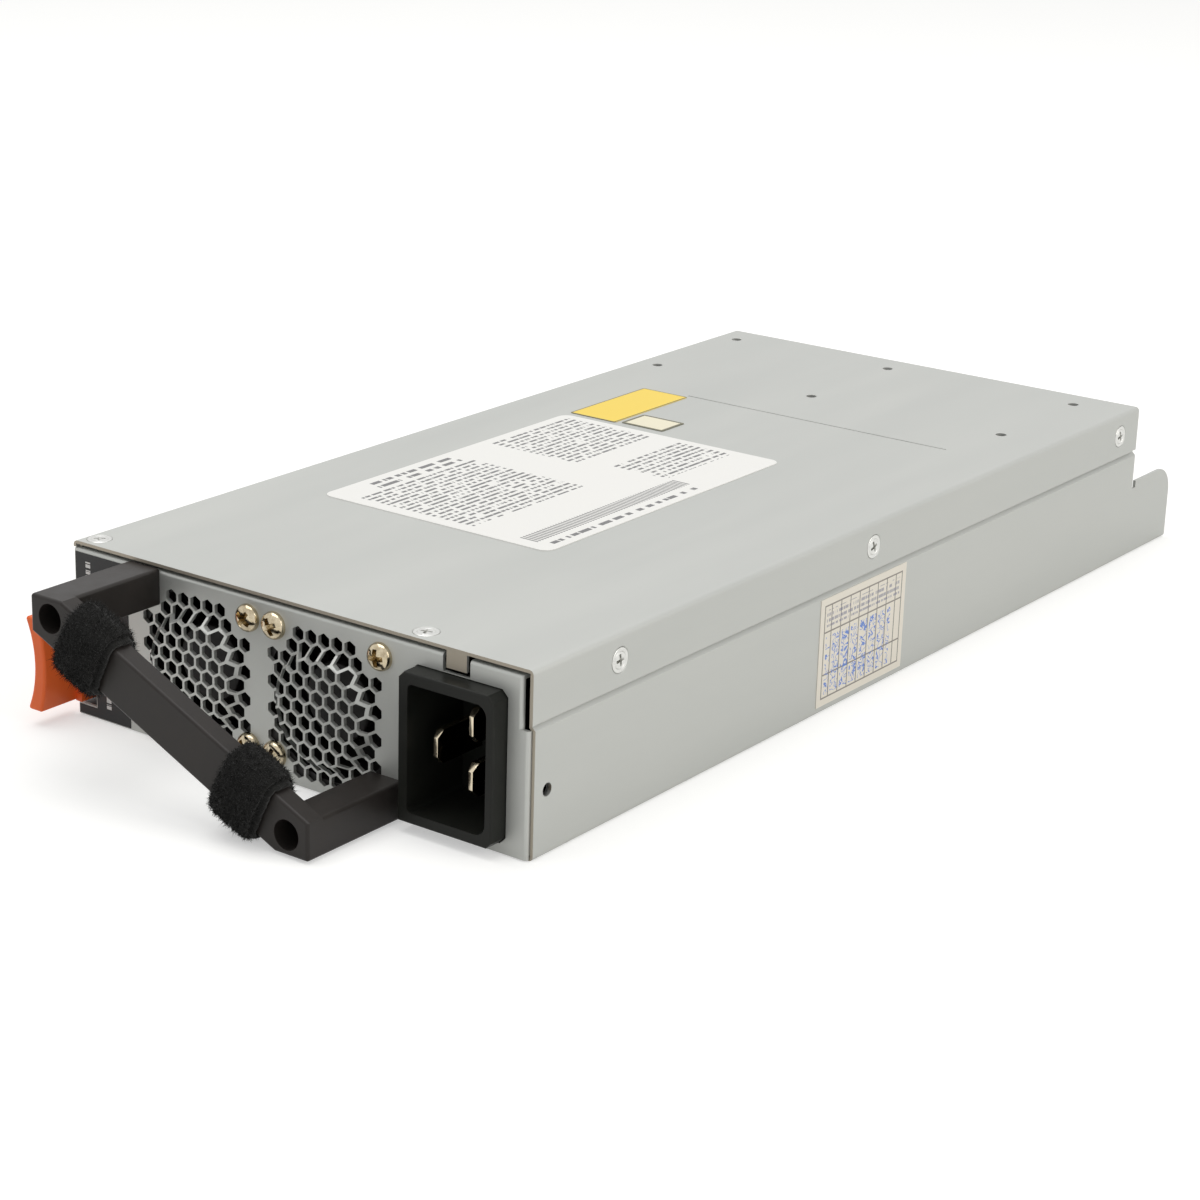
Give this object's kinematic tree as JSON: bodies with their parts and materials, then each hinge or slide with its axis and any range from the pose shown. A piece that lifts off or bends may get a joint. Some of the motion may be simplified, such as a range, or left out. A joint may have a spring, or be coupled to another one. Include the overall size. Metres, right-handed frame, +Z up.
{
  "type": "hot swap server power supply",
  "caption": "Slim sheet metal power supply for a server bay, with a mains inlet, honeycomb fan grilles, a pull handle and a release latch on the front and a card edge output at the rear.",
  "frame": {"origin": "centre of the housing's underside, half way along the cover", "axes": "+X to the right as seen from the front, +Y from the front panel to the rear, +Z up"},
  "size_m": [0.1441, 0.3479, 0.0452],
  "materials": {
    "zinc_sheet": "galvanised, matt",
    "cover_sheet": "galvanised, matt",
    "zinc_screw": "yellow zinc plated",
    "nickel_screw": "nickel plated",
    "black_moulding": "fine texture",
    "fan_plastic": "satin",
    "inlet_plastic": "satin",
    "orange_moulding": "satin",
    "strap_fabric": "fuzzy loop pile",
    "tinned_brass": "nickel plated",
    "board_laminate": "solder mask",
    "film": "clear amber film",
    "spring_steel": "tempered",
    "sink_aluminium": "extruded",
    "can_sleeve": "shrunk sleeve",
    "package_epoxy": "moulded epoxy",
    "winding": "enamelled wire",
    "ferrite": "sintered ferrite",
    "film_box": "moulded box",
    "bus_copper": "bare copper",
    "gold_plate": "gold plated",
    "label_paper": "printed film",
    "yellow_paper": "printed film",
    "black_film": "printed film"
  },
  "bodies": {
    "supply": {"chassis_tray": "zinc_sheet", "top_cover": "cover_sheet", "front_panel": "zinc_sheet", "side_screws": "nickel_screw", "top_screws": "nickel_screw", "fan_frame_left": "fan_plastic", "fan_frame_right": "fan_plastic", "fan_screws": "zinc_screw", "handle": "black_moulding", "handle_screws": "zinc_screw", "latch_bracket": "zinc_sheet", "latch_pin": "nickel_screw", "latch_spring": "spring_steel", "inlet_housing": "inlet_plastic", "inlet_pins": "tinned_brass", "filter_board": "board_laminate", "main_board": "board_laminate", "board_standoffs": "nickel_screw", "board_screws": "nickel_screw", "insulation_film": "film", "bulk_capacitors": "can_sleeve", "output_capacitors": "can_sleeve", "primary_heat_sink": "sink_aluminium", "secondary_heat_sink": "sink_aluminium", "primary_transistors": "package_epoxy", "secondary_transistors": "package_epoxy", "filter_choke": "winding", "boost_choke": "winding", "output_choke": "winding", "filter_capacitors": "film_box", "transformer_core": "ferrite", "transformer_winding": "winding", "control_card": "board_laminate", "control_socket": "package_epoxy", "bus_bars": "bus_copper", "edge_contacts": "gold_plate", "rating_label": "label_paper", "yellow_sticker": "yellow_paper", "small_sticker": "label_paper", "side_sticker": "label_paper", "front_label": "black_film"},
    "latch": {"latch_lever": "orange_moulding"},
    "fan_left": {"fan_rotor_left": "fan_plastic"},
    "fan_right": {"fan_rotor_right": "fan_plastic"},
    "strap_top": {"strap_upper": "strap_fabric"},
    "strap_bottom": {"strap_lower": "strap_fabric"}
  },
  "joints": [
    {"name": "latch_swing", "type": "hinge", "parent": "supply", "child": "latch", "pos_m": [-0.0667, -0.104, 0.016], "axis": [0, 0, 1], "range_deg": [0, 4.6], "stiffness_Nm_per_rad": 3, "springref_deg": -2.86, "deforming": ["latch_spring"]},
    {"name": "fan_left_spin", "type": "hinge", "parent": "supply", "child": "fan_left", "pos_m": [-0.0288, -0.13, 0.0222], "axis": [0, 1, 0], "continuous": true},
    {"name": "fan_right_spin", "type": "hinge", "parent": "supply", "child": "fan_right", "pos_m": [0.0112, -0.13, 0.0222], "axis": [0, 1, 0], "continuous": true},
    {"name": "strap_top_slide", "type": "slide", "parent": "supply", "child": "strap_top", "axis": [0.9108, 0, -0.4129], "range_m": [-0.0015, 0.0195]},
    {"name": "strap_bottom_slide", "type": "slide", "parent": "supply", "child": "strap_bottom", "axis": [-0.9108, 0, 0.4129], "range_m": [-0.0015, 0.0195]}
  ]
}
